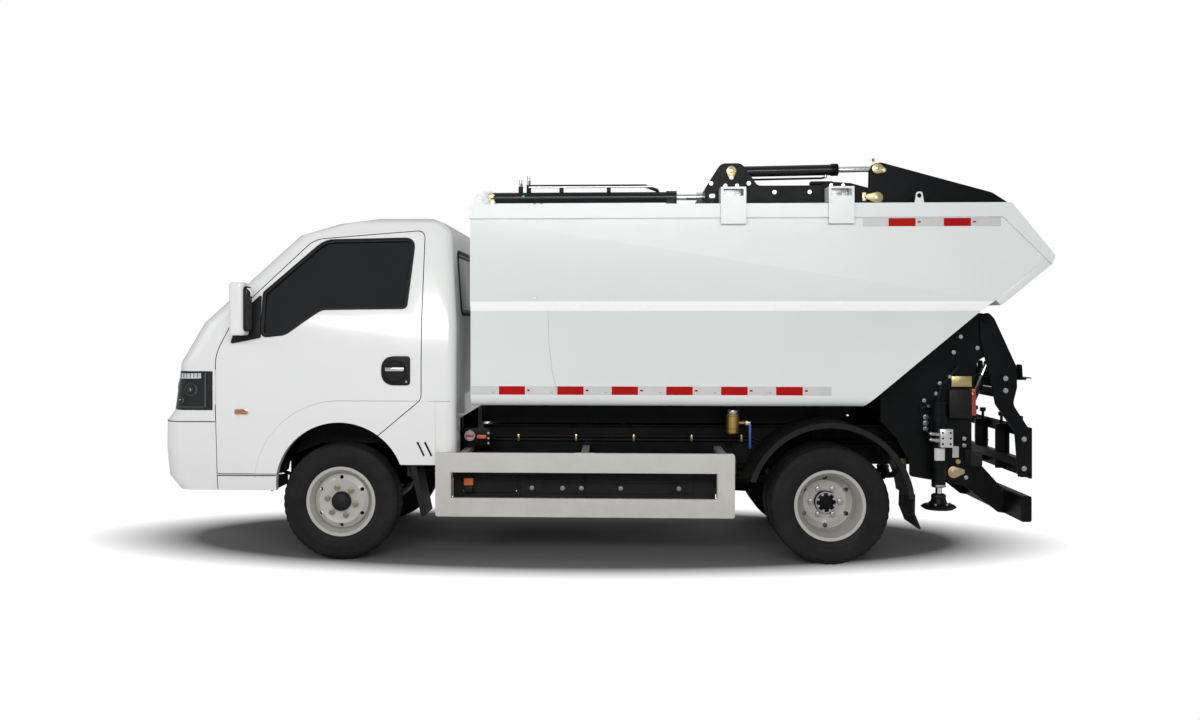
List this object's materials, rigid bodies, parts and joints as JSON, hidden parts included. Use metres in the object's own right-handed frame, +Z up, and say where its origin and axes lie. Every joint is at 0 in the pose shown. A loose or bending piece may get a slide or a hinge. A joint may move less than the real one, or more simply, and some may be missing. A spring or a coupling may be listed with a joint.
{
  "type": "light refuse collection truck",
  "caption": "Light two-axle refuse truck with a white tipping container, a sliding top packer, a rear bin lifter and parking legs.",
  "frame": {"origin": "on the ground under the middle of the length and of the width", "axes": "+X forward, +Y to the left side, +Z up"},
  "size_m": [5.18, 1.963, 2.2893],
  "materials": {
    "tyre": "matt rubber",
    "wheel_steel": "silver paint",
    "white_paint": "gloss white",
    "black_paint": "satin black",
    "chrome_rod": "polished",
    "guard_aluminium": "satin",
    "black_plastic": "matt black",
    "seat_cloth": "woven",
    "glazing": "tinted",
    "lamp_plastic": "clear cover",
    "mirror_shell": "gloss white"
  },
  "bodies": {
    "chassis": {"chassis_frame": "black_paint", "front_axle": "black_paint", "rear_axle": "black_paint", "leaf_springs": "black_paint", "drive_motor": "black_paint", "battery_box": "black_plastic", "side_guards": "guard_aluminium", "rear_fenders": "black_plastic", "rear_frame": "black_paint", "stabiliser_tubes": "black_paint", "underrun_beam": "black_paint", "tail_lamps": "lamp_plastic", "cab_body": "white_paint", "cab_glass": "glazing", "front_bumper": "white_paint", "headlamps": "lamp_plastic", "arch_liners": "black_plastic", "seats": "seat_cloth", "dashboard": "black_plastic", "steering_wheel": "black_plastic"},
    "knuckle_left": {"knuckle_left": "black_paint"},
    "knuckle_right": {"knuckle_right": "black_paint"},
    "front_wheel_left": {"front_tyre_left": "tyre", "front_rim_left": "wheel_steel"},
    "front_wheel_right": {"front_tyre_right": "tyre", "front_rim_right": "wheel_steel"},
    "rear_wheels_left": {"rear_tyres_left": "tyre", "rear_rims_left": "wheel_steel"},
    "rear_wheels_right": {"rear_tyres_right": "tyre", "rear_rims_right": "wheel_steel"},
    "door_left": {"door_left": "white_paint", "door_glass_left": "glazing", "mirror_left": "mirror_shell"},
    "door_right": {"door_right": "white_paint", "door_glass_right": "glazing", "mirror_right": "mirror_shell"},
    "container": {"container": "white_paint", "tipping_frame": "black_paint", "slide_barrels": "black_paint"},
    "tip_barrel": {"tip_barrel": "black_paint"},
    "tip_rod": {"tip_rod": "chrome_rod"},
    "carriage": {"carriage": "black_paint", "slide_rods": "chrome_rod"},
    "packer_arm": {"packer_arm": "black_paint"},
    "packer_barrels": {"packer_barrels": "black_paint"},
    "packer_rods": {"packer_rods": "chrome_rod"},
    "lifter": {"lifter_frame": "black_paint", "lifter_comb": "black_paint"},
    "lifter_barrels": {"lifter_barrels": "black_paint"},
    "lifter_rods": {"lifter_rods": "chrome_rod"},
    "leg_left": {"leg_left": "chrome_rod"},
    "leg_right": {"leg_right": "chrome_rod"}
  },
  "joints": [
    {"name": "steer_left", "type": "hinge", "parent": "chassis", "child": "knuckle_left", "pos_m": [1.448, 0.59, 0.337], "axis": [0, 0, 1], "range_deg": [-32, 32]},
    {"name": "steer_right", "type": "hinge", "parent": "chassis", "child": "knuckle_right", "pos_m": [1.448, -0.59, 0.337], "axis": [0, 0, 1], "range_deg": [-32, 32]},
    {"name": "front_spin_left", "type": "hinge", "parent": "knuckle_left", "child": "front_wheel_left", "pos_m": [1.448, 0.705, 0.337], "axis": [0, 1, 0], "continuous": true},
    {"name": "front_spin_right", "type": "hinge", "parent": "knuckle_right", "child": "front_wheel_right", "pos_m": [1.448, -0.705, 0.337], "axis": [0, 1, 0], "continuous": true},
    {"name": "rear_spin_left", "type": "hinge", "parent": "chassis", "child": "rear_wheels_left", "pos_m": [-1.352, 0.6325, 0.337], "axis": [0, 1, 0], "continuous": true},
    {"name": "rear_spin_right", "type": "hinge", "parent": "chassis", "child": "rear_wheels_right", "pos_m": [-1.352, -0.6325, 0.337], "axis": [0, 1, 0], "continuous": true},
    {"name": "door_left", "type": "hinge", "parent": "chassis", "child": "door_left", "pos_m": [2.1685, 0.831, 1], "axis": [0, 0, -1], "range_deg": [0, 65]},
    {"name": "door_right", "type": "hinge", "parent": "chassis", "child": "door_right", "pos_m": [2.1685, -0.831, 1], "axis": [0, 0, 1], "range_deg": [0, 65]},
    {"name": "container_tip", "type": "hinge", "parent": "chassis", "child": "container", "pos_m": [-2.25, 0, 1.408], "axis": [0, -1, 0], "range_deg": [0, 45]},
    {"name": "tip_barrel", "type": "hinge", "parent": "chassis", "child": "tip_barrel", "pos_m": [-0.9, 0, 0.552], "axis": [0, -1, 0], "range_deg": [-51.04, 0]},
    {"name": "tip_rod", "type": "slide", "parent": "tip_barrel", "child": "tip_rod", "axis": [-0.9468, 0, 0.3219], "range_m": [0, 0.3658]},
    {"name": "carriage_slide", "type": "slide", "parent": "container", "child": "carriage", "axis": [-1, 0, 0], "range_m": [0, 0.3]},
    {"name": "arm_swing", "type": "hinge", "parent": "carriage", "child": "packer_arm", "pos_m": [-1.631, 0, 2.085], "axis": [0, 1, 0], "range_deg": [-80, 60]},
    {"name": "packer_barrels", "type": "hinge", "parent": "carriage", "child": "packer_barrels", "pos_m": [-0.804, 0, 2.243], "axis": [0, 1, 0], "range_deg": [-1.76, 1.76]},
    {"name": "packer_rods", "type": "slide", "parent": "packer_barrels", "child": "packer_rods", "axis": [-0.9999, 0, 0.0156], "range_m": [-0.1399, 0.1866]},
    {"name": "lifter_swing", "type": "hinge", "parent": "chassis", "child": "lifter", "pos_m": [-2.277, 0, 1.395], "axis": [0, -1, 0], "range_deg": [-90, 0]},
    {"name": "lifter_barrels", "type": "hinge", "parent": "chassis", "child": "lifter_barrels", "pos_m": [-2.08, 0, 0.6], "axis": [0, -1, 0], "range_deg": [-2, 2]},
    {"name": "lifter_rods", "type": "slide", "parent": "lifter_barrels", "child": "lifter_rods", "axis": [-0.4104, 0, 0.9119], "range_m": [0, 0.3003]},
    {"name": "leg_left", "type": "slide", "parent": "chassis", "child": "leg_left", "axis": [0, 0, -1], "range_m": [0, 0.3]},
    {"name": "leg_right", "type": "slide", "parent": "chassis", "child": "leg_right", "axis": [0, 0, -1], "range_m": [0, 0.3]}
  ],
  "couplings": [
    {"joint": "steer_right", "follows": "steer_left", "ratio": 1},
    {"joint": "tip_barrel", "follows": "container_tip", "ratio": -1.1119},
    {"joint": "tip_rod", "follows": "container_tip", "m_per_rad": 0.45663},
    {"joint": "packer_barrels", "follows": "arm_swing", "ratio": 0.01546},
    {"joint": "packer_rods", "follows": "arm_swing", "m_per_rad": -0.13101},
    {"joint": "lifter_barrels", "follows": "lifter_swing", "ratio": -0.00085},
    {"joint": "lifter_rods", "follows": "lifter_swing", "m_per_rad": -0.18746}
  ]
}
